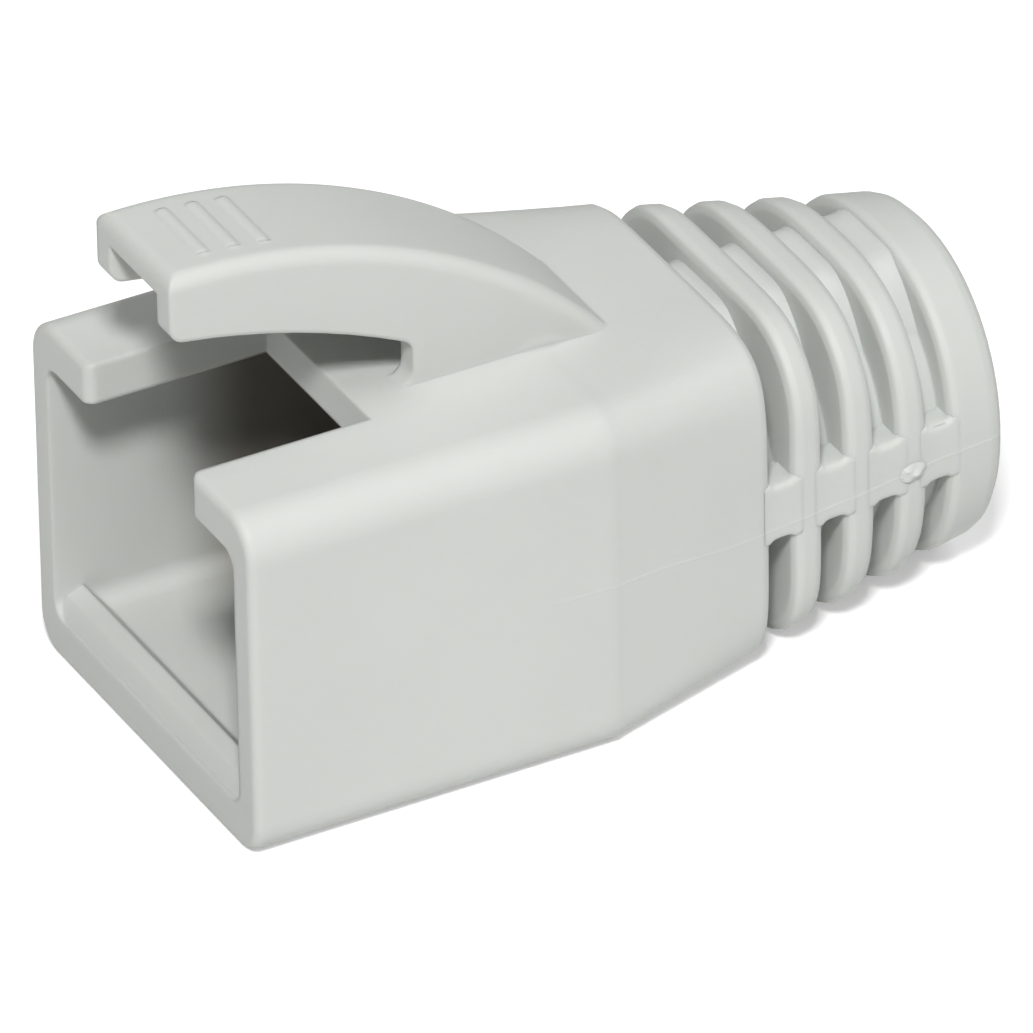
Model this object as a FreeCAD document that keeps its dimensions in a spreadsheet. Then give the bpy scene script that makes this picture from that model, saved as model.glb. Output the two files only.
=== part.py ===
import FreeCAD, Part
import math
import os
import Sketcher

V = FreeCAD.Vector
SIDE_STEPS = 8           # parts into which a flat side of a smooth section is split
CORNER_STEPS = 5         # parts of each rounded corner
RING_STEPS = 20          # points round a section of a ring
LIP_STRIP = 0.3          # widest strip of a rounded lip, in millimetres
NEAR = 0.01              # how close counts as touching when edges are picked

doc = FreeCAD.newDocument("strain_relief_boot")

# ---------------------------------------------------------------------------
# Driving dimensions, in millimetres.  Stations run back from the plug mouth
# and heights run up from the flat underside.  A text value is a formula.
# ---------------------------------------------------------------------------
sheet = doc.addObject("Spreadsheet::Sheet", "dims")
dims = [
    ("total_length", 26.4),         # mouth to the rear face of the end collar
    ("box_length", 12.2),           # straight part that covers the plug
    ("box_width", 14.0),
    ("box_height", 11.6),
    ("box_low_round", 1.15),
    ("box_high_round", 1.3),
    ("mouth_edge_round", 0.25),
    ("cut_over", 1.0),              # how far a cut starts outside the surface

    ("plug_width", 11.7),           # the modular plug that the boot slides over
    ("plug_gap", 0.1),              # play between the plug and each side wall
    ("plug_reach", 11.2),           # how far the plug's tail goes in
    ("floor_thickness", 1.4),
    ("top_thickness", 1.35),
    ("cavity_round", 0.6),
    ("ridge_front", 0.12),          # snap ridge across the floor, behind the mouth
    ("ridge_rise_end", 0.42),
    ("ridge_top", 0.95),
    ("ridge_back", 1.6),
    ("ridge_front_height", 0.6),
    ("ridge_height", 0.78),
    ("slot_width", 6.6),            # opening in the top wall for the plug's latch
    ("slot_length", 5.95),
    ("slot_round", 0.35),

    ("bore_length", 9.4),           # straight bore for the cable, up to the rear face
    ("funnel_end", "=total_length - bore_length"),
    ("cable_radius", 3.1),
    ("cable_lead", 0.3),            # bevel where the cable leaves
    ("axis_height", 5.45),          # centre line of the cable

    ("shoulder_step", 0.02),        # the shoulder starts this much inside the box
    ("sleeve_start", "=groove_first - lip_round"),   # the shoulder's rear lip begins
    ("sleeve_width", 11.53),
    ("sleeve_high", 11.33),
    ("sleeve_low", 0.05),
    ("sleeve_power", 6.0),          # squareness of the sleeve where it starts
    ("tail_width", 10.0),
    ("tail_high", 10.64),
    ("tail_low", 0.12),
    ("tail_power", 2.1),            # squareness at the end collar
    ("tail_round", 0.55),

    ("groove_reach", 8.4),          # first groove's front wall to the rear face
    ("groove_first", "=total_length - groove_reach"),
    ("groove_width", 0.82),
    ("groove_pitch", 1.87),
    ("lip_round", 0.3),             # rounded lips of the rings
    ("core_radius", 4.45),          # tube left standing inside the grooves
    ("core_sink", 0.5),             # overlap of the tube and ribs with both ends
    ("rib_high", 6.6),              # levels of the side ribs that join the rings
    ("rib_low", 4.75),
    ("rib_inset", 0.13),            # the ribs stay this much inside the rings
    ("spine_width", 2.5),           # ribs that join the rings along the top and the bottom
    ("spine_high", 10.46),
    ("spine_low", 0.46),
    ("spine_round", 0.2),

    ("hood_width", 4.6),            # arched cover over the latch
    ("hood_arc_x", 0.65),
    ("hood_arc_depth", 12.65),      # centre of the cover's top arc, below the top wall
    ("hood_arc_z", "=box_height - hood_arc_depth"),
    ("hood_arc_radius", 18.69),
    ("hood_root", 15.2),            # buried end of the cover in the shoulder
    ("hood_sink", 1.0),             # depth of its root in the top wall
    ("leg_arc_x", -3.02),
    ("leg_arc_depth", 19.86),       # the same for the lower edge of its legs
    ("leg_arc_z", "=box_height - leg_arc_depth"),
    ("leg_arc_radius", 23.96),
    ("leg_front_round", 0.5),
    ("gap_end", 7.95),              # rear end of the gap under the cover
    ("gap_end_round", 0.55),
    ("hood_plate", 0.8),
    ("hood_leg", 0.8),
    ("hollow_end", 9.2),
    ("hood_edge_round", 0.45),

    ("grip_first", 1.62),           # three low ribs for the fingertip
    ("grip_pitch", 0.98),
    ("grip_length", 2.7),
    ("grip_radius", 0.35),
    ("grip_rise", 0.09),
]
for row, (alias, value) in enumerate(dims, start=1):
    sheet.set("A%d" % row, alias)
    sheet.set("B%d" % row, str(value))
    sheet.setAlias("B%d" % row, alias)
doc.recompute()


def dim(alias):
    """Current value of one driving dimension."""
    return float(sheet.get(alias))


body = doc.addObject("PartDesign::Body", "Body")
body.Label = "boot"


def origin_feature(role):
    """The origin plane or axis of the body with this role."""
    for feature in body.Origin.OriginFeatures:
        if feature.Role == role:
            return feature
    raise RuntimeError("no origin feature " + role)


def new_sketch(name, plane, offset=None):
    """Sketch on an origin plane, moved along the plane's normal by an expression."""
    sketch = body.newObject("Sketcher::SketchObject", name)
    sketch.AttachmentSupport = [(origin_feature(plane), "")]
    sketch.MapMode = "FlatFace"
    if offset:
        sketch.setExpression("AttachmentOffset.Base.z", offset)
    return sketch


def constrain(sketch, *terms):
    """Add one geometric constraint."""
    return sketch.addConstraint(Sketcher.Constraint(*terms))


def bind(sketch, expression, *terms):
    """Add a dimensional constraint that follows the spreadsheet."""
    sketch.setExpression("Constraints[%d]" % constrain(sketch, *terms), expression)


def place(sketch, geometry, end, x=None, z=None):
    """Hold a point at (x, z) from the origin; each is a (value, expression) pair."""
    if x:
        bind(sketch, x[1], "DistanceX", -1, 1, geometry, end, x[0])
    if z:
        bind(sketch, z[1], "DistanceY", -1, 1, geometry, end, z[0])


def size(alias):
    """A driving dimension as a (value, expression) pair."""
    return dim(alias), "dims." + alias


def add_line(sketch, start, end):
    """Straight segment between two (x, z) points of the sketch."""
    return sketch.addGeometry(Part.LineSegment(V(*start, 0), V(*end, 0)), False)


def add_arc(sketch, centre, radius, start, end):
    """Arc that runs anticlockwise from one angle to the other."""
    circle = Part.Circle(V(*centre, 0), V(0, 0, 1), radius)
    return sketch.addGeometry(Part.ArcOfCircle(circle, start, end), False)


def feature(kind, name, profile=None, length=None):
    """New feature of the body on a profile, with its length bound to the sheet."""
    made = body.newObject("PartDesign::" + kind, name)
    if profile:
        made.Profile = profile
    if length:
        made.setExpression("Length", length)
    return made


def finished(made):
    """Recompute and insist that the feature gave a valid solid."""
    doc.recompute()
    if not made.isValid() or made.Shape.isNull() or not made.Shape.isValid():
        raise RuntimeError("feature failed: " + made.Name)
    return made


def add_round(name, base, radius, test):
    """Fillet every edge of the base whose shape and bounding box pass the test."""
    edges = [
        "Edge%d" % number
        for number, edge in enumerate(base.Shape.Edges, start=1)
        if test(edge, edge.BoundBox)
    ]
    made = feature("Fillet", name)
    made.Base = (base, edges)
    made.setExpression("Radius", "dims." + radius)
    return finished(made)


def circle_sketch(sketch, radius):
    """Circle about the cable's centre line."""
    circle = Part.Circle(V(0, dim("axis_height"), 0), V(0, 0, 1), dim(radius))
    sketch.addGeometry(circle, False)
    constrain(sketch, "PointOnObject", 0, 3, -2)
    place(sketch, 0, 3, z=size("axis_height"))
    bind(sketch, "dims." + radius, "Radius", 0, dim(radius))


def box_sketch(sketch, half_width, low, high, low_round, high_round):
    """Rounded rectangle about the vertical axis, from (value, expression) pairs."""
    w, z0, z1, r0, r1 = (pair[0] for pair in (half_width, low, high, low_round, high_round))
    quarter = 0.5 * math.pi
    add_line(sketch, (-w + r0, z0), (w - r0, z0))
    add_line(sketch, (w, z0 + r0), (w, z1 - r1))
    add_line(sketch, (w - r1, z1), (-w + r1, z1))
    add_line(sketch, (-w, z1 - r1), (-w, z0 + r0))
    add_arc(sketch, (w - r0, z0 + r0), r0, -quarter, 0)
    add_arc(sketch, (w - r1, z1 - r1), r1, 0, quarter)
    add_arc(sketch, (-w + r1, z1 - r1), r1, quarter, 2 * quarter)
    add_arc(sketch, (-w + r0, z0 + r0), r0, 2 * quarter, 3 * quarter)
    order = [0, 4, 1, 5, 2, 6, 3, 7]
    for here, after in zip(order, order[1:] + order[:1]):
        constrain(sketch, "Tangent", here, 2, after, 1)
    constrain(sketch, "Horizontal", 0)
    constrain(sketch, "Vertical", 1)
    constrain(sketch, "Equal", 4, 7)
    constrain(sketch, "Equal", 5, 6)
    constrain(sketch, "Symmetric", 1, 1, 3, 2, -2)
    bind(sketch, low_round[1], "Radius", 4, r0)
    bind(sketch, high_round[1], "Radius", 5, r1)
    place(sketch, 1, 1, x=half_width)
    place(sketch, 2, 1, z=high)
    bind(sketch, "(%s) - (%s)" % (high[1], low[1]), "DistanceY", 0, 1, 2, 1, z1 - z0)


# ---------------------------------------------------------------------------
# Plug box: the straight part, with the mouth's outer edge rounded later.
# ---------------------------------------------------------------------------
mouth_outline = new_sketch("mouth_outline", "YZ_Plane")
box_sketch(
    mouth_outline,
    (dim("box_width") / 2, "dims.box_width / 2"),
    (0.0, "0"),
    size("box_height"),
    size("box_low_round"),
    size("box_high_round"),
)
plug_box = finished(feature("Pad", "plug_box", mouth_outline, "dims.box_length"))


# ---------------------------------------------------------------------------
# Shoulder and flexing sleeve.  The outline goes from the box's rounded
# rectangle through a squarish section to the almost round collar.  Every
# section is one smooth closed curve, sampled in directions from its middle.
# ---------------------------------------------------------------------------
def steps_between(first, last):
    """Points strictly between two points, closer together near both ends."""
    shares = [0.5 - 0.5 * math.cos(math.pi * step / SIDE_STEPS) for step in range(1, SIDE_STEPS)]
    return [tuple(a + (b - a) * share for a, b in zip(first, last)) for share in shares]


def box_outline_points():
    """Points just inside the box's outline, from the middle of one side, about its centre."""
    half_width = dim("box_width") / 2 - dim("shoulder_step")
    half_height = dim("box_height") / 2 - dim("shoulder_step")
    outline = [(half_width, 0.0)]
    corners = [
        (1, 1, dim("box_high_round")),
        (-1, 1, dim("box_high_round")),
        (-1, -1, dim("box_low_round")),
        (1, -1, dim("box_low_round")),
    ]
    for quarter, (side, level, radius) in enumerate(corners):
        centre = (side * (half_width - radius), level * (half_height - radius))
        angles = [0.5 * math.pi * (quarter + step / CORNER_STEPS) for step in range(CORNER_STEPS + 1)]
        arc = [
            (centre[0] + radius * math.cos(angle), centre[1] + radius * math.sin(angle))
            for angle in angles
        ]
        outline += steps_between(outline[-1], arc[0]) + arc
    return outline + steps_between(outline[-1], outline[0])


box_outline = box_outline_points()
round_directions = [
    (math.cos(2 * math.pi * step / RING_STEPS), math.sin(2 * math.pi * step / RING_STEPS))
    for step in range(RING_STEPS)
]


def sleeve_outline(station, inset, directions):
    """Points of |y/a|^n + |z/b|^n = 1 at a station, with a and b less an inset.

    Width and levels change evenly from the sleeve's start to its tail, and so
    does 1/n, which makes the outline rounder fast at first and slowly later.
    """
    share = (station - dim("sleeve_start")) / (dim("total_length") - dim("sleeve_start"))
    width, low, high, roundness = (
        start + (end - start) * share
        for start, end in [
            (dim("sleeve_width"), dim("tail_width")),
            (dim("sleeve_low"), dim("tail_low")),
            (dim("sleeve_high"), dim("tail_high")),
            (1 / dim("sleeve_power"), 1 / dim("tail_power")),
        ]
    )
    half_width, half_height, power = width / 2 - inset, (high - low) / 2 - inset, 1 / roundness
    points = []
    for y, z in directions:
        reach = (abs(y / half_width) ** power + abs(z / half_height) ** power) ** (1 / power)
        points.append(V(y / reach, (low + high) / 2 + z / reach, 0))
    return points


def section_sketch(name, station, points):
    """Smooth closed section through points; the station is an expression."""
    sketch = new_sketch(name, "YZ_Plane", station)
    curve = Part.BSplineCurve()
    curve.interpolate(points, PeriodicFlag=True)
    constrain(sketch, "Block", sketch.addGeometry(curve, False))
    return sketch


def loft(name, sections, ruled=False):
    """Loft through sections, straight between them if ruled, else smooth."""
    made = feature("AdditiveLoft", name, sections[0])
    made.Sections = sections[1:]
    made.Ruled = ruled
    return finished(made)


def lip_sections(name, start, radius, way, directions):
    """Sections of a quarter-round lip that rises from a wall at a station.

    The start is a (value, expression) pair, and way is 1 for a wall that the
    lip stands behind and -1 for one that it stands in front of.  Angle t runs
    from 0 at the wall to 90 degrees: along r (1 - cos t), inwards r (1 - sin t).
    """
    sections = []
    steps = math.ceil(0.5 * math.pi * dim(radius) / LIP_STRIP)
    for step in range(steps + 1):
        turn = 0.5 * math.pi * step / steps
        along, inset = way * (1 - math.cos(turn)), dim(radius) * (1 - math.sin(turn))
        station = start[0] + along * dim(radius)
        expression = "%s + (%r) * dims.%s" % (start[1], along, radius)
        points = sleeve_outline(station, inset, directions)
        sections.append(section_sketch("%s_%d" % (name, step), expression, points))
    return sections


def domed_loft(name, front, back, front_round, back_round):
    """Ring of the sleeve's outline between two walls, with rounded lips."""
    front_lip = lip_sections(name + "_front", front, front_round, 1, round_directions)
    back_lip = lip_sections(name + "_back", back, back_round, -1, round_directions)
    return loft(name, front_lip + back_lip[::-1], ruled=True)


box_middle = dim("box_height") / 2
shoulder_front = section_sketch(
    "shoulder_front", "dims.box_length", [V(y, box_middle + z, 0) for y, z in box_outline])
shoulder_lip = lip_sections(
    "shoulder_lip", size("groove_first"), "lip_round", -1, box_outline)[::-1]
loft("shoulder", [shoulder_front, shoulder_lip[0]], ruled=True)
loft("shoulder_end", shoulder_lip, ruled=True)

# A round tube runs through the grooves.  A narrow spine along the top and
# the bottom and a rib along each side join the rings to it.
core_start = (dim("groove_first") - dim("core_sink"), "dims.groove_first - dims.core_sink")
core_end = (
    dim("groove_first") + 3 * dim("groove_pitch") + dim("groove_width") + dim("core_sink"),
    "dims.groove_first + 3 * dims.groove_pitch + dims.groove_width + dims.core_sink")
core_length = "(%s) - (%s)" % (core_end[1], core_start[1])
core_outline = new_sketch("core_outline", "YZ_Plane", core_start[1])
circle_sketch(core_outline, "core_radius")
finished(feature("Pad", "core", core_outline, core_length))

spine_outline = new_sketch("spine_outline", "YZ_Plane", core_start[1])
box_sketch(
    spine_outline,
    (dim("spine_width") / 2, "dims.spine_width / 2"),
    size("spine_low"),
    size("spine_high"),
    size("spine_round"),
    size("spine_round"),
)
finished(feature("Pad", "spines", spine_outline, core_length))


def rib_reach(station):
    """Half the width over the side ribs at a station given as a pair."""
    share = (station[0] - dim("sleeve_start")) / (dim("total_length") - dim("sleeve_start"))
    width = dim("sleeve_width") + (dim("tail_width") - dim("sleeve_width")) * share
    expression = (
        "0.5 * (dims.sleeve_width + (dims.tail_width - dims.sleeve_width)"
        " * (%s - dims.sleeve_start) / (dims.total_length - dims.sleeve_start))"
        " - dims.rib_inset" % station[1])
    return width / 2 - dim("rib_inset"), expression


rib_plan = new_sketch("rib_plan", "XY_Plane", "dims.rib_low")
wide, narrow = rib_reach(core_start), rib_reach(core_end)
rib_corners = [
    (core_start[0], wide[0]),
    (core_end[0], narrow[0]),
    (core_end[0], -narrow[0]),
    (core_start[0], -wide[0]),
]
for here, after in zip(rib_corners, rib_corners[1:] + rib_corners[:1]):
    add_line(rib_plan, here, after)
for line in range(4):
    constrain(rib_plan, "Coincident", line, 2, (line + 1) % 4, 1)
constrain(rib_plan, "Symmetric", 0, 1, 2, 2, -1)
constrain(rib_plan, "Symmetric", 0, 2, 2, 1, -1)
place(rib_plan, 0, 1, x=core_start, z=wide)
place(rib_plan, 0, 2, x=core_end, z=narrow)
finished(feature("Pad", "side_ribs", rib_plan, "dims.rib_high - dims.rib_low"))

# Three domed rings, and a longer collar at the end.
for ring in range(3):
    front = (
        dim("groove_first") + dim("groove_width") + ring * dim("groove_pitch"),
        "dims.groove_first + dims.groove_width + %d * dims.groove_pitch" % ring)
    back = (
        dim("groove_first") + (ring + 1) * dim("groove_pitch"),
        "dims.groove_first + %d * dims.groove_pitch" % (ring + 1))
    domed_loft("ring_%d" % (ring + 1), front, back, "lip_round", "lip_round")
collar_front = (
    dim("groove_first") + dim("groove_width") + 3 * dim("groove_pitch"),
    "dims.groove_first + dims.groove_width + 3 * dims.groove_pitch")
sleeve = domed_loft("collar", collar_front, size("total_length"), "lip_round", "tail_round")
add_round("mouth_round", sleeve, "mouth_edge_round", lambda edge, box: box.XMax < NEAR)

# ---------------------------------------------------------------------------
# Latch cover: an arched plate on two thin legs.  It rises from the shoulder
# and runs forward over the latch, clear of the top wall, to the mouth.
# ---------------------------------------------------------------------------
top_centre, top_radius = (dim("hood_arc_x"), dim("hood_arc_z")), dim("hood_arc_radius")
leg_centre, leg_radius = (dim("leg_arc_x"), dim("leg_arc_z")), dim("leg_arc_radius")


def arc_angle(centre, radius, x):
    """Angle at which an arc's upper side passes a station."""
    return math.acos((x - centre[0]) / radius)


def arc_height(centre, radius, x):
    """Height at which an arc's upper side passes a station."""
    return centre[1] + radius * math.sin(arc_angle(centre, radius, x))


root_x, gap_x = dim("hood_root"), dim("gap_end")
sink_z = dim("box_height") - dim("hood_sink")
hood_side = new_sketch("hood_side", "XZ_Plane")
add_arc(hood_side, top_centre, top_radius,
        arc_angle(top_centre, top_radius, root_x), arc_angle(top_centre, top_radius, 0))
add_line(hood_side, (0, arc_height(top_centre, top_radius, 0)),
         (0, arc_height(leg_centre, leg_radius, 0)))
add_arc(hood_side, leg_centre, leg_radius,
        arc_angle(leg_centre, leg_radius, gap_x), arc_angle(leg_centre, leg_radius, 0))
add_line(hood_side, (gap_x, arc_height(leg_centre, leg_radius, gap_x)), (gap_x, sink_z))
add_line(hood_side, (gap_x, sink_z), (root_x, sink_z))
add_line(hood_side, (root_x, sink_z), (root_x, arc_height(top_centre, top_radius, root_x)))
for join in [(0, 2, 1, 1), (1, 2, 2, 2), (2, 1, 3, 1), (3, 2, 4, 1), (4, 2, 5, 1), (5, 2, 0, 1)]:
    constrain(hood_side, "Coincident", *join)
constrain(hood_side, "PointOnObject", 1, 1, -2)
for line in (1, 3, 5):
    constrain(hood_side, "Vertical", line)
constrain(hood_side, "Horizontal", 4)
place(hood_side, 0, 3, x=size("hood_arc_x"), z=size("hood_arc_z"))
bind(hood_side, "dims.hood_arc_radius", "Radius", 0, top_radius)
place(hood_side, 2, 3, x=size("leg_arc_x"), z=size("leg_arc_z"))
bind(hood_side, "dims.leg_arc_radius", "Radius", 2, leg_radius)
place(hood_side, 5, 1, x=size("hood_root"), z=(sink_z, "dims.box_height - dims.hood_sink"))
place(hood_side, 3, 1, x=size("gap_end"))
hood = feature("Pad", "hood", hood_side, "dims.hood_width")
hood.Midplane = True
finished(hood)

hood_half = dim("hood_width") / 2
deck_z = dim("box_height")


def across(box, x, z):
    """True for a level edge straight across the cover at one station and height."""
    return (box.YLength > dim("hood_width") - NEAR and box.XLength < NEAR
            and abs(box.XMin - x) < NEAR and abs(box.ZMin - z) < NEAR)


leg_round = add_round(
    "leg_round", hood, "leg_front_round",
    lambda edge, box: across(box, 0, arc_height(leg_centre, leg_radius, 0)))
gap_round = add_round(
    "gap_round", leg_round, "gap_end_round",
    lambda edge, box: across(box, gap_x, arc_height(leg_centre, leg_radius, gap_x))
    or across(box, gap_x, deck_z))
hood_round = add_round(
    "hood_round", gap_round, "hood_edge_round",
    lambda edge, box: box.ZMax > arc_height(top_centre, top_radius, 0) - NEAR
    and (across(box, 0, arc_height(top_centre, top_radius, 0))
         or (box.YLength < NEAR and abs(abs(box.YMin) - hood_half) < NEAR and box.XLength > gap_x)))

# Inside, the cover is hollow between its two legs.
hollow_side = new_sketch("hollow_side", "XZ_Plane")
inner_radius = top_radius - dim("hood_plate")
front_x, back_x = -dim("cut_over"), dim("hollow_end")
add_arc(hollow_side, top_centre, inner_radius,
        arc_angle(top_centre, inner_radius, back_x), arc_angle(top_centre, inner_radius, front_x))
add_line(hollow_side, (front_x, arc_height(top_centre, inner_radius, front_x)), (front_x, deck_z))
add_line(hollow_side, (front_x, deck_z), (back_x, deck_z))
add_line(hollow_side, (back_x, deck_z), (back_x, arc_height(top_centre, inner_radius, back_x)))
for join in [(0, 2, 1, 1), (1, 2, 2, 1), (2, 2, 3, 1), (3, 2, 0, 1)]:
    constrain(hollow_side, "Coincident", *join)
constrain(hollow_side, "Vertical", 1)
constrain(hollow_side, "Horizontal", 2)
constrain(hollow_side, "Vertical", 3)
place(hollow_side, 0, 3, x=size("hood_arc_x"), z=size("hood_arc_z"))
bind(hollow_side, "dims.hood_arc_radius - dims.hood_plate", "Radius", 0, inner_radius)
place(hollow_side, 1, 2, x=(front_x, "-dims.cut_over"), z=size("box_height"))
place(hollow_side, 3, 1, x=size("hollow_end"))
hollow = feature("Pocket", "hood_hollow", hollow_side, "dims.hood_width - 2 * dims.hood_leg")
hollow.Midplane = True
finished(hollow)

# Three low ribs across the top of the cover stop a fingertip from slipping.
grip_side = new_sketch("grip_side", "XZ_Plane")
grip_reach = dim("hood_arc_radius") - dim("grip_radius") + dim("grip_rise")
for turn in range(3):
    grip_x = dim("grip_first") + turn * dim("grip_pitch")
    grip_z = arc_height(top_centre, grip_reach, grip_x)
    circle = Part.Circle(V(grip_x, grip_z, 0), V(0, 0, 1), dim("grip_radius"))
    grip_side.addGeometry(circle, False)
    grip_station = "(dims.grip_first + %d * dims.grip_pitch)" % turn
    bind(grip_side, "dims.grip_radius", "Radius", turn, dim("grip_radius"))
    place(
        grip_side, turn, 3, x=(grip_x, grip_station),
        z=(grip_z, "dims.hood_arc_z + sqrt("
           "(dims.hood_arc_radius - dims.grip_radius + dims.grip_rise) ^ 2"
           " - (%s - dims.hood_arc_x) ^ 2)" % grip_station))
grips = feature("Pad", "grip_ribs", grip_side, "dims.grip_length")
grips.Midplane = True
finished(grips)

# ---------------------------------------------------------------------------
# Latch opening in the top wall: from the mouth back to a plain end wall, with
# its two front corners rounded outwards.
# ---------------------------------------------------------------------------
slot_plan = new_sketch("slot_plan", "XY_Plane", "dims.box_height")
slot_y, slot_x = dim("slot_width") / 2, dim("slot_length")
slot_r = dim("slot_round")
quarter = 0.5 * math.pi
add_line(slot_plan, (slot_x, -slot_y), (slot_x, slot_y))
add_line(slot_plan, (slot_x, slot_y), (slot_r, slot_y))
add_arc(slot_plan, (slot_r, slot_y + slot_r), slot_r, 2 * quarter, 3 * quarter)
add_line(slot_plan, (0, slot_y + slot_r), (front_x, slot_y + slot_r))
add_line(slot_plan, (front_x, slot_y + slot_r), (front_x, -slot_y - slot_r))
add_line(slot_plan, (front_x, -slot_y - slot_r), (0, -slot_y - slot_r))
add_arc(slot_plan, (slot_r, -slot_y - slot_r), slot_r, quarter, 2 * quarter)
add_line(slot_plan, (slot_r, -slot_y), (slot_x, -slot_y))
for join in [(0, 2, 1, 1), (2, 1, 3, 1), (3, 2, 4, 1), (4, 2, 5, 1), (5, 2, 6, 2), (7, 2, 0, 1)]:
    constrain(slot_plan, "Coincident", *join)
constrain(slot_plan, "Tangent", 1, 2, 2, 2)
constrain(slot_plan, "Tangent", 6, 1, 7, 1)
constrain(slot_plan, "Vertical", 4)
for line in (1, 3, 5, 7):
    constrain(slot_plan, "Horizontal", line)
constrain(slot_plan, "Equal", 2, 6)
constrain(slot_plan, "PointOnObject", 3, 1, -2)
constrain(slot_plan, "PointOnObject", 5, 2, -2)
constrain(slot_plan, "Symmetric", 0, 1, 0, 2, -1)
bind(slot_plan, "dims.slot_round", "Radius", 2, slot_r)
bind(slot_plan, "dims.slot_width", "DistanceY", 0, 1, 0, 2, 2 * slot_y)
place(slot_plan, 0, 1, x=size("slot_length"))
place(slot_plan, 4, 1, x=(front_x, "-dims.cut_over"))
constrain(slot_plan, "Horizontal", 2, 1, 2, 3)
constrain(slot_plan, "Horizontal", 6, 2, 6, 3)
finished(feature("Pocket", "latch_slot", slot_plan, "dims.top_thickness + dims.cavity_round"))

# ---------------------------------------------------------------------------
# Inside: the space for the plug's tail, a funnel down to the cable, and the
# cable's bore through the sleeve.
# ---------------------------------------------------------------------------
cavity_sizes = (
    (dim("plug_width") / 2 + dim("plug_gap"), "dims.plug_width / 2 + dims.plug_gap"),
    size("floor_thickness"),
    (dim("box_height") - dim("top_thickness"), "dims.box_height - dims.top_thickness"),
    size("cavity_round"),
    size("cavity_round"),
)
cavity_outline = new_sketch("cavity_outline", "YZ_Plane")
box_sketch(cavity_outline, *cavity_sizes)
cavity = feature("Pocket", "plug_cavity", cavity_outline, "dims.plug_reach")
cavity.Reversed = True
finished(cavity)

funnel_front = new_sketch("funnel_front", "YZ_Plane", "dims.plug_reach")
box_sketch(funnel_front, *cavity_sizes)
funnel_back = new_sketch("funnel_back", "YZ_Plane", "dims.funnel_end")
funnel_half = dim("cable_radius") * math.sqrt(0.5)
box_sketch(
    funnel_back,
    (funnel_half, "dims.cable_radius * sqrt(0.5)"),
    (dim("axis_height") - funnel_half, "dims.axis_height - dims.cable_radius * sqrt(0.5)"),
    (dim("axis_height") + funnel_half, "dims.axis_height + dims.cable_radius * sqrt(0.5)"),
    size("cavity_round"),
    size("cavity_round"),
)
funnel = feature("SubtractiveLoft", "funnel", funnel_front)
funnel.Sections = [funnel_back]
funnel.Ruled = True
finished(funnel)

# The funnel's last section is a square whose corners touch the bore, so the
# bore cuts into the funnel's four walls and leaves no ledge.
bore_outline = new_sketch("bore_outline", "YZ_Plane", "dims.plug_reach")
circle_sketch(bore_outline, "cable_radius")
bore = feature(
    "Pocket", "cable_bore", bore_outline,
    "dims.total_length - dims.plug_reach + dims.cut_over")
bore.Reversed = True
finished(bore)

bore_rim = [
    "Edge%d" % number
    for number, edge in enumerate(bore.Shape.Edges, start=1)
    if edge.BoundBox.XMin > dim("total_length") - NEAR
    and edge.BoundBox.YLength < 2 * dim("cable_radius") + NEAR
]
bore_lead = feature("Chamfer", "bore_lead")
bore_lead.Base = (bore, bore_rim)
bore_lead.setExpression("Size", "dims.cable_lead")
finished(bore_lead)

# A ridge across the floor just inside the mouth snaps in front of the plug.
ridge_side = new_sketch("ridge_side", "XZ_Plane")
floor_z = dim("floor_thickness")
root_z = floor_z - dim("floor_thickness") / 2
ridge = [
    (size("ridge_front"), (root_z, "dims.floor_thickness / 2")),
    (size("ridge_front"), size("floor_thickness")),
    (size("ridge_rise_end"), (floor_z + dim("ridge_front_height"),
                              "dims.floor_thickness + dims.ridge_front_height")),
    (size("ridge_top"), (floor_z + dim("ridge_height"),
                         "dims.floor_thickness + dims.ridge_height")),
    (size("ridge_back"), size("floor_thickness")),
    (size("ridge_back"), (root_z, "dims.floor_thickness / 2")),
]
for line, (start, end) in enumerate(zip(ridge, ridge[1:] + ridge[:1])):
    add_line(ridge_side, [pair[0] for pair in start], [pair[0] for pair in end])
    place(ridge_side, line, 1, x=start[0], z=start[1])
for line in range(len(ridge)):
    constrain(ridge_side, "Coincident", line, 2, (line + 1) % len(ridge), 1)
snap_ridge = feature(
    "Pad", "snap_ridge", ridge_side, "dims.box_width - 2 * dims.mouth_edge_round")
snap_ridge.Midplane = True
finished(snap_ridge)

# The frame's origin lies under the middle of the boot's length.
body.setExpression("Placement.Base.x", "-dims.total_length / 2")
doc.recompute()

# Nothing is written unless every object is sound.
for item in doc.Objects:
    if "Invalid" in item.State or "Error" in item.State:
        raise RuntimeError("object failed: " + item.Name)
    if hasattr(item, "Shape") and item.isDerivedFrom("PartDesign::Feature"):
        if item.Shape.isNull() or not item.Shape.isValid():
            raise RuntimeError("bad shape: " + item.Name)
if body.Shape.isNull() or not body.Shape.isValid() or len(body.Shape.Solids) != 1:
    raise RuntimeError("the boot is not one sound solid")

os.makedirs("parts", exist_ok=True)
body.Shape.exportStep("parts/boot.step")
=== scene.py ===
import math
import bpy
import numpy as np
from mathutils import Matrix


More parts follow.
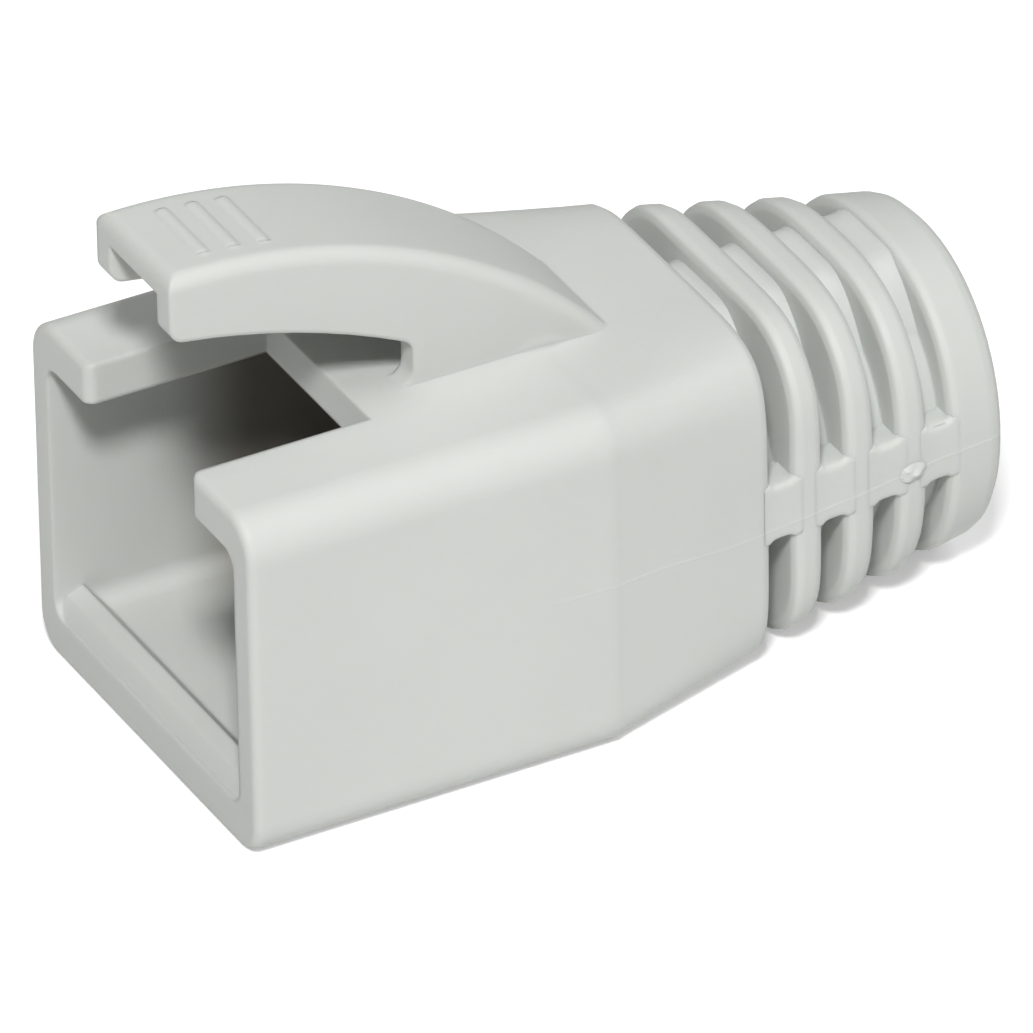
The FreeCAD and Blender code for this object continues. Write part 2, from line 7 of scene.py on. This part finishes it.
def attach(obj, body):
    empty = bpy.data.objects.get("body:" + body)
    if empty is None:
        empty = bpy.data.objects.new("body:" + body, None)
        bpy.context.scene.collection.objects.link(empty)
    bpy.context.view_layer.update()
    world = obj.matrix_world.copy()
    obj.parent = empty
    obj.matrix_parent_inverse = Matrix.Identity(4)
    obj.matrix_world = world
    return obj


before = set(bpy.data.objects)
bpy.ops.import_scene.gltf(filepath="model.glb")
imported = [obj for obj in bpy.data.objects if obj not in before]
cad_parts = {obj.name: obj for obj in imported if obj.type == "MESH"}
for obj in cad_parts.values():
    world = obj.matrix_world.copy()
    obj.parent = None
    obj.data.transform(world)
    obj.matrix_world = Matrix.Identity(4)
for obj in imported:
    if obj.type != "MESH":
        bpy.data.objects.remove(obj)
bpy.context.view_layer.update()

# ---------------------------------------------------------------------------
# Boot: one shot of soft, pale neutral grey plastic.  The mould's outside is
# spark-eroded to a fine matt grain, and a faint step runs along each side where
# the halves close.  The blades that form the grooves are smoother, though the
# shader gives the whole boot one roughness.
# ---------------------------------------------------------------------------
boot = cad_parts["boot"]
MM = 0.001  # one millimetre in metres


def shader_group(name, inputs, outputs):
    """Empty shader node group with its sockets, as (group, source, result)."""
    group = bpy.data.node_groups.new(name, "ShaderNodeTree")
    for socket, kind in inputs:
        group.interface.new_socket(socket, in_out="INPUT", socket_type=kind)
    for socket, kind in outputs:
        group.interface.new_socket(socket, in_out="OUTPUT", socket_type=kind)
    return group, group.nodes.new("NodeGroupInput"), group.nodes.new("NodeGroupOutput")


def math_node(group, operation, first, second=None, third=None):
    """Math node on sockets or plain numbers; returns its output socket."""
    node = group.nodes.new("ShaderNodeMath")
    node.operation = operation
    for index, value in enumerate((first, second, third)):
        if isinstance(value, (int, float)):
            node.inputs[index].default_value = value
        elif value is not None:
            group.links.new(value, node.inputs[index])
    return node.outputs[0]


def ramp(group, value, x_range, y_range=(0.0, 1.0), smooth=True):
    """Smooth or straight step of a socket from one range to another."""
    node = group.nodes.new("ShaderNodeMapRange")
    node.interpolation_type = "SMOOTHSTEP" if smooth else "LINEAR"
    node.inputs["From Min"].default_value, node.inputs["From Max"].default_value = x_range
    node.inputs["To Min"].default_value, node.inputs["To Max"].default_value = y_range
    group.links.new(value, node.inputs["Value"])
    return node.outputs["Result"]


def grain_group():
    """Height of the grain: fine noise + slow sink waviness, in object space."""
    group, source, result = shader_group(
        "moulded_grain",
        [("Vector", "NodeSocketVector")],
        [("Height", "NodeSocketFloat"), ("Mottle", "NodeSocketFloat")])
    fine = group.nodes.new("ShaderNodeTexNoise")
    fine.inputs["Scale"].default_value = 7500.0
    fine.inputs["Detail"].default_value = 3.0
    fine.inputs["Roughness"].default_value = 0.6
    slow = group.nodes.new("ShaderNodeTexNoise")
    slow.inputs["Scale"].default_value = 240.0
    slow.inputs["Detail"].default_value = 2.0
    group.links.new(source.outputs["Vector"], fine.inputs["Vector"])
    group.links.new(source.outputs["Vector"], slow.inputs["Vector"])
    height = math_node(group, "MULTIPLY_ADD", slow.outputs["Fac"], 5.0, fine.outputs["Fac"])
    group.links.new(height, result.inputs["Height"])
    group.links.new(slow.outputs["Fac"], result.inputs["Mottle"])
    return group


def parting_group():
    """Height of the parting line: exp(-(d/w)^2) + step(d), d = z - line(x).

    The line falls from 6.1 to 5.2 mm along the box and rises again towards the
    collar.  Below it the surface stands a little proud of the half above.
    """
    group, source, result = shader_group(
        "parting_line",
        [("Vector", "NodeSocketVector")],
        [("Height", "NodeSocketFloat")])

    split = group.nodes.new("ShaderNodeSeparateXYZ")
    group.links.new(source.outputs["Vector"], split.inputs["Vector"])
    along = math_node(group, "MULTIPLY_ADD", split.outputs["X"], 1 / (26.4 * MM), 0.5)
    curve = group.nodes.new("ShaderNodeFloatCurve")
    points = curve.mapping.curves[0].points
    line = [(0.0, 0.62), (0.19, 0.603), (0.36, 0.59), (0.50, 0.575), (0.66, 0.516),
            (0.74, 0.52), (0.83, 0.53), (0.90, 0.545), (1.0, 0.552)]
    points[0].location, points[1].location = line[0], line[-1]
    for place in line[1:-1]:
        points.new(*place)
    curve.mapping.update()
    group.links.new(along, curve.inputs["Value"])
    level = math_node(group, "MULTIPLY", curve.outputs["Value"], 10 * MM)
    offset = math_node(group, "SUBTRACT", split.outputs["Z"], level)
    scaled = math_node(group, "DIVIDE", offset, 0.045 * MM)
    squared = math_node(group, "MULTIPLY", scaled, scaled)
    ridge = math_node(group, "EXPONENT", math_node(group, "MULTIPLY", squared, -1.0))
    step = ramp(group, offset, (-0.06 * MM, 0.06 * MM), (1.0, 0.0))
    height = math_node(group, "MULTIPLY_ADD", ridge, 0.6, step)
    outward = math_node(group, "ABSOLUTE", split.outputs["Y"])
    inside = ramp(group, split.outputs["X"], (-2.2 * MM, -0.2 * MM), (6.4 * MM, 4.5 * MM))
    outside = math_node(group, "GREATER_THAN", outward, inside)
    clear = ramp(group, split.outputs["X"], (-6.0 * MM, 3.0 * MM), (0.15, 1.0))
    height = math_node(group, "MULTIPLY", height, math_node(group, "MULTIPLY", outside, clear))
    group.links.new(height, result.inputs["Height"])
    return group


def depth_group():
    """Painted shade of the plug space: 0 at the mouth, 1 from 7 mm behind it.

    It stands in for the little light that reaches the funnel, so the plastic
    is drawn darker there than it is.  Its edge follows the funnel's walls.
    """
    group, source, result = shader_group(
        "plug_space_painted_shade",
        [("Vector", "NodeSocketVector")],
        [("Shade", "NodeSocketFloat")])
    split = group.nodes.new("ShaderNodeSeparateXYZ")
    group.links.new(source.outputs["Vector"], split.inputs["Vector"])
    deep = ramp(group, split.outputs["X"], (-9.4 * MM, -6.2 * MM))
    funnel = ramp(group, split.outputs["X"], (-2.0 * MM, 2.0 * MM), (5.99 * MM, 3.4 * MM), False)
    outward = math_node(group, "ABSOLUTE", split.outputs["Y"])
    across = math_node(group, "LESS_THAN", outward, funnel)
    under = math_node(group, "LESS_THAN", split.outputs["Z"], 10.3 * MM)
    above = math_node(group, "GREATER_THAN", split.outputs["Z"], 1.3 * MM)
    before = math_node(group, "LESS_THAN", split.outputs["X"], 4.3 * MM)
    room = math_node(group, "MULTIPLY", math_node(group, "MULTIPLY", across, under),
                     math_node(group, "MULTIPLY", above, before))
    shade = math_node(group, "MULTIPLY", deep, room)
    group.links.new(shade, result.inputs["Shade"])
    return group


def plastic_material(name, color, roughness):
    """Moulded plastic: grain over parting line over edges rounded by the shader, with painted
    shade darkening the plug space.
    """
    material = bpy.data.materials.new(name)
    material.use_nodes = True
    tree = material.node_tree
    nodes, links = tree.nodes, tree.links
    shader = nodes["Principled BSDF"]
    coordinates = nodes.new("ShaderNodeTexCoord")
    bevel = nodes.new("ShaderNodeBevel")
    bevel.samples = 4
    place = nodes.new("ShaderNodeSeparateXYZ")
    links.new(coordinates.outputs["Object"], place.inputs["Vector"])
    past_bend = math_node(tree, "ADD", place.outputs["X"], 1.0 * MM)
    from_bend = math_node(tree, "ABSOLUTE", past_bend)
    rounding = ramp(tree, from_bend, (0.2 * MM, 1.0 * MM), (0.8 * MM, 0.19 * MM))
    links.new(rounding, bevel.inputs["Radius"])
    parting = nodes.new("ShaderNodeGroup")
    parting.node_tree = parting_group()
    parting_bump = nodes.new("ShaderNodeBump")
    parting_bump.inputs["Strength"].default_value = 0.8
    parting_bump.inputs["Distance"].default_value = 0.022 * MM
    grain = nodes.new("ShaderNodeGroup")
    grain.node_tree = grain_group()
    grain_bump = nodes.new("ShaderNodeBump")
    grain_bump.inputs["Strength"].default_value = 0.3
    grain_bump.inputs["Distance"].default_value = 0.02 * MM
    tint = nodes.new("ShaderNodeMix")
    tint.data_type = "RGBA"
    tint.inputs["A"].default_value = [*(0.975 * c for c in color), 1.0]
    tint.inputs["B"].default_value = [*(1.025 * c for c in color), 1.0]
    links.new(coordinates.outputs["Object"], grain.inputs["Vector"])
    links.new(coordinates.outputs["Object"], parting.inputs["Vector"])
    links.new(bevel.outputs["Normal"], parting_bump.inputs["Normal"])
    links.new(parting.outputs["Height"], parting_bump.inputs["Height"])
    links.new(parting_bump.outputs["Normal"], grain_bump.inputs["Normal"])
    links.new(grain.outputs["Height"], grain_bump.inputs["Height"])
    links.new(grain_bump.outputs["Normal"], shader.inputs["Normal"])
    links.new(grain.outputs["Mottle"], tint.inputs["Factor"])
    # Painted shade: deep in the plug space the base colour is darkened to 36, 33 and 30 percent
    # of the plastic's colour, standing in for the little light that reaches it.
    depth = nodes.new("ShaderNodeGroup")
    depth.node_tree = depth_group()
    painted_shade_mix = nodes.new("ShaderNodeMix")
    painted_shade_mix.data_type = "RGBA"
    dimmed = [share * c for share, c in zip((0.36, 0.33, 0.30), color)]
    painted_shade_mix.inputs["B"].default_value = [*dimmed, 1.0]
    links.new(coordinates.outputs["Object"], depth.inputs["Vector"])
    links.new(depth.outputs["Shade"], painted_shade_mix.inputs["Factor"])
    links.new(tint.outputs["Result"], painted_shade_mix.inputs["A"])
    links.new(painted_shade_mix.outputs["Result"], shader.inputs["Base Color"])
    shader.inputs["IOR"].default_value = 1.5
    shader.inputs["Roughness"].default_value = roughness
    shader.inputs["Specular IOR Level"].default_value = 0.4
    shader.inputs["Subsurface Weight"].default_value = 0.3
    shader.inputs["Subsurface Radius"].default_value = (1.0, 0.8, 0.62)
    shader.inputs["Subsurface Scale"].default_value = 0.7 * MM
    return material


plastic = plastic_material("boot_plastic", (0.56, 0.575, 0.55), 0.55)
boot.data.materials.clear()
boot.data.materials.append(plastic)

# ---------------------------------------------------------------------------
# Flexing sleeve: between the rings the plastic is filled in softly.  A band
# runs level with the rings along each side, where the mould's halves meet, and
# a low crown widens the spine that joins the rings along the top and bottom.
# ---------------------------------------------------------------------------


groove_centres = (5.21, 7.08, 8.95, 10.82)


def smooth_object(name, points, faces):
    """Smooth object of the boot's plastic from arrays of points in metres and quads."""
    mesh = bpy.data.meshes.new(name)
    mesh.from_pydata(points.tolist(), [], faces.tolist())
    mesh.polygons.foreach_set("use_smooth", [True] * len(mesh.polygons))
    made = bpy.data.objects.new(name, mesh)
    bpy.context.collection.objects.link(made)
    made.data.materials.append(plastic)
    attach(made, "root")
    return made


def grid_faces(rows, columns):
    """Quads of a rows by columns grid of points."""
    row, column = np.meshgrid(np.arange(rows - 1), np.arange(columns - 1), indexing="ij")
    corner = (row * columns + column).reshape(-1, 1)
    return corner + np.array([[0, columns, columns + 1, 1]])


def grid_object(name, grids):
    """One smooth object from (rows, columns, 3) grids of points in millimetres."""
    points, faces, start = [], [], 0
    for grid in grids:
        points.append(grid.reshape(-1, 3) * MM)
        faces.append(grid_faces(grid.shape[0], grid.shape[1]) + start)
        start += grid.shape[0] * grid.shape[1]
    return smooth_object(name, np.concatenate(points), np.concatenate(faces))


def sleeve_half_width(x, z):
    """y = (w / 2) (1 - |2 (z - c) / h|^n)^(1 / n), all changing evenly along the sleeve."""
    share = (x - 4.5) / 8.7
    width = 11.53 + (10.0 - 11.53) * share
    low = 0.05 + (0.12 - 0.05) * share
    high = 11.33 + (10.64 - 11.33) * share
    power = 1 / (1 / 6.0 + (1 / 2.1 - 1 / 6.0) * share)
    level = np.clip(np.abs(2 * z - low - high) / (high - low), 0.0, 1.0)
    return width / 2 * (1 - level ** power) ** (1 / power)


def side_band(side):
    """Band at z = 4.73..6.62, its edges turned in by r - sqrt(r^2 - (r - d)^2).

    Between two rings it dips by 0.036 - 0.0735 g^2, g from the groove's middle.
    """
    x = np.linspace(4.55, 11.6, 190)[:, None]
    turn = np.linspace(0.0, math.pi, 26)[None, :]
    groove = np.minimum.reduce([np.abs(x - centre) for centre in groove_centres])
    flare = 0.12 * np.clip(groove / 0.45, 0.0, 1.0) ** 4
    low, high = 4.73 - flare, 6.62 + flare
    z = (low + high) / 2 - (high - low) / 2 * np.cos(turn)
    edge = np.minimum(z - low, high - z)
    radius = 0.16
    dip = np.where(groove < 0.69, 0.036 - 0.0735 * groove ** 2, 0.012)
    short = np.clip(radius - edge, 0.0, radius)
    inset = dip + radius - np.sqrt(np.clip(radius ** 2 - short ** 2, 0.0, None))
    y = sleeve_half_width(x, z) - inset
    outer = np.stack([np.broadcast_to(x, z.shape), side * y, z], axis=-1)
    inner_low, inner_high = outer[:, :1].copy(), outer[:, -1:].copy()
    inner_low[..., 1] -= side * 0.9
    inner_high[..., 1] -= side * 0.9
    strip = np.concatenate([inner_low, outer, inner_high], axis=1)
    return strip if side < 0 else strip[:, ::-1]


def spine_crown(centre, top):
    """Crown of the spine: falls as 0.22 (y / 1.7)^5 up to y = 1.7 mm.

    From there, t = y - 1.7, it falls by a further 0.65 t + 0.4 t^2 to the tube.
    """
    x = np.linspace(centre - 0.47, centre + 0.47, 11)[:, None]
    y = np.linspace(-3.4, 3.4, 81)[None, :]
    beyond = np.clip(np.abs(y) - 1.7, 0.0, None)
    drop = 0.22 * (np.clip(np.abs(y), 0.0, 1.7) / 1.7) ** 5 + 0.647 * beyond + 0.4 * beyond ** 2
    flare = 0.10 * np.clip(np.abs(x - centre) / 0.41, 0.0, 1.0) ** 4
    level = 10.50 - drop + flare if top else 0.42 + drop - flare
    across = np.broadcast_to(y, level.shape)
    grid = np.stack([np.broadcast_to(x, level.shape), across, level], axis=-1)
    return grid if top else grid[:, ::-1]


grid_object("side_bands", [side_band(side) for side in (-1, 1)])
grid_object("spine_crowns", [
    spine_crown(centre, top) for centre in groove_centres for top in (True, False)])

# ---------------------------------------------------------------------------
# Gate mark: where the runner was snapped off the near side, between the last
# two grooves.  A low torn blister of the same plastic, about 1 mm long.
# ---------------------------------------------------------------------------


def gate_mesh(name, centre, size):
    """Blister: height = (1 - u^2 - v^2)^0.8 (1 + 0.35 sin 5u cos 6v) on a round grid."""
    rings, turns = 14, 48
    around = np.linspace(0.0, 2 * math.pi, turns, endpoint=False)
    radius, angle = np.meshgrid(np.linspace(0.0, 1.0, rings), around, indexing="ij")
    u, v = radius * np.cos(angle), radius * np.sin(angle)
    wave = 1 + 0.35 * np.sin(5 * u + 0.6) * np.cos(6 * v)
    height = np.clip(1 - radius ** 2, 0.0, 1.0) ** 0.8 * wave
    edge = 1 + 0.06 * np.sin(2 * angle) + 0.04 * np.sin(3 * angle + 1.0)
    points = np.stack([
        centre[0] + size[0] * u * edge,
        centre[1] - size[1] * height,
        centre[2] + size[2] * v * edge,
    ], axis=-1).reshape(-1, 3)
    row, column = np.meshgrid(np.arange(rings - 1), np.arange(turns), indexing="ij")
    after = (column + 1) % turns
    faces = np.stack([
        row * turns + column, (row + 1) * turns + column,
        (row + 1) * turns + after, row * turns + after], axis=-1).reshape(-1, 4)
    return smooth_object(name, points, faces)


gate_mesh("gate_mark", np.array([9.8, -5.24, 5.38]) * MM, np.array([0.5, 0.21, 0.36]) * MM)

# ---------------------------------------------------------------------------
# Studio: a white table that fades to pure white, one lamp high on the near
# side and pale light all round.
# ---------------------------------------------------------------------------
bpy.ops.mesh.primitive_plane_add(size=6.0, location=(0, 0, 0))
floor = bpy.context.object
floor.name = "floor"
table = bpy.data.materials.new("table")
table.use_nodes = True
nodes, links = table.node_tree.nodes, table.node_tree.links
surface = nodes["Principled BSDF"]
surface.inputs["Base Color"].default_value = (0.8, 0.8, 0.8, 1)
surface.inputs["Roughness"].default_value = 1.0
surface.inputs["Specular IOR Level"].default_value = 0.0
glow = nodes.new("ShaderNodeEmission")
glow.inputs["Strength"].default_value = 0.35
seen = nodes.new("ShaderNodeLightPath")
glow_seen = nodes.new("ShaderNodeMixShader")
both = nodes.new("ShaderNodeAddShader")
dark = nodes.new("ShaderNodeEmission")
dark.inputs["Strength"].default_value = 0.0
links.new(seen.outputs["Is Camera Ray"], glow_seen.inputs["Fac"])
links.new(dark.outputs["Emission"], glow_seen.inputs[1])
links.new(glow.outputs["Emission"], glow_seen.inputs[2])
links.new(surface.outputs["BSDF"], both.inputs[0])
links.new(glow_seen.outputs["Shader"], both.inputs[1])
links.new(both.outputs["Shader"], nodes["Material Output"].inputs["Surface"])
floor.data.materials.append(table)

world = bpy.data.worlds.new("studio")
bpy.context.scene.world = world
world.use_nodes = True
world.node_tree.nodes["Background"].inputs["Color"].default_value = (1, 1, 1, 1)
world.node_tree.nodes["Background"].inputs["Strength"].default_value = 0.15


def area_light(name, position, size, power):
    """Square soft light that points at the boot's middle."""
    data = bpy.data.lights.new(name, "AREA")
    data.size = size
    data.energy = power
    light = bpy.data.objects.new(name, data)
    bpy.context.collection.objects.link(light)
    back = np.array(position) - np.array([0.0, 0.0, 0.006])
    back = back / np.linalg.norm(back)
    right = np.cross([0.0, 0.0, 1.0], back)
    right = right / np.linalg.norm(right)
    up = np.cross(back, right)
    matrix = np.eye(4)
    matrix[:3, 0], matrix[:3, 1], matrix[:3, 2], matrix[:3, 3] = right, up, back, position
    light.matrix_world = Matrix(matrix.tolist())
    return light


area_light("key", (-0.196, -0.335, 0.457), 0.085, 3.3)
area_light("overhead", (0.30, -0.05, 0.52), 0.45, 1.2)

camera_data = bpy.data.cameras.new("camera")
camera_data.sensor_width = 36.0
camera_data.lens = 36.0 * 20000.0 / 1033.0
camera_data.clip_start = 0.01
camera_data.clip_end = 10.0
camera = bpy.data.objects.new("camera", camera_data)
bpy.context.collection.objects.link(camera)
camera.matrix_world = Matrix((
    (0.88058, 0.26970, -0.38968, -0.23250989),
    (-0.47362, 0.47251, -0.74324, -0.44208081),
    (-0.01633, 0.83904, 0.54382, 0.32769593),
    (0.0, 0.0, 0.0, 1.0),
))
bpy.context.scene.camera = camera
bpy.context.scene.view_settings.view_transform = "Standard"
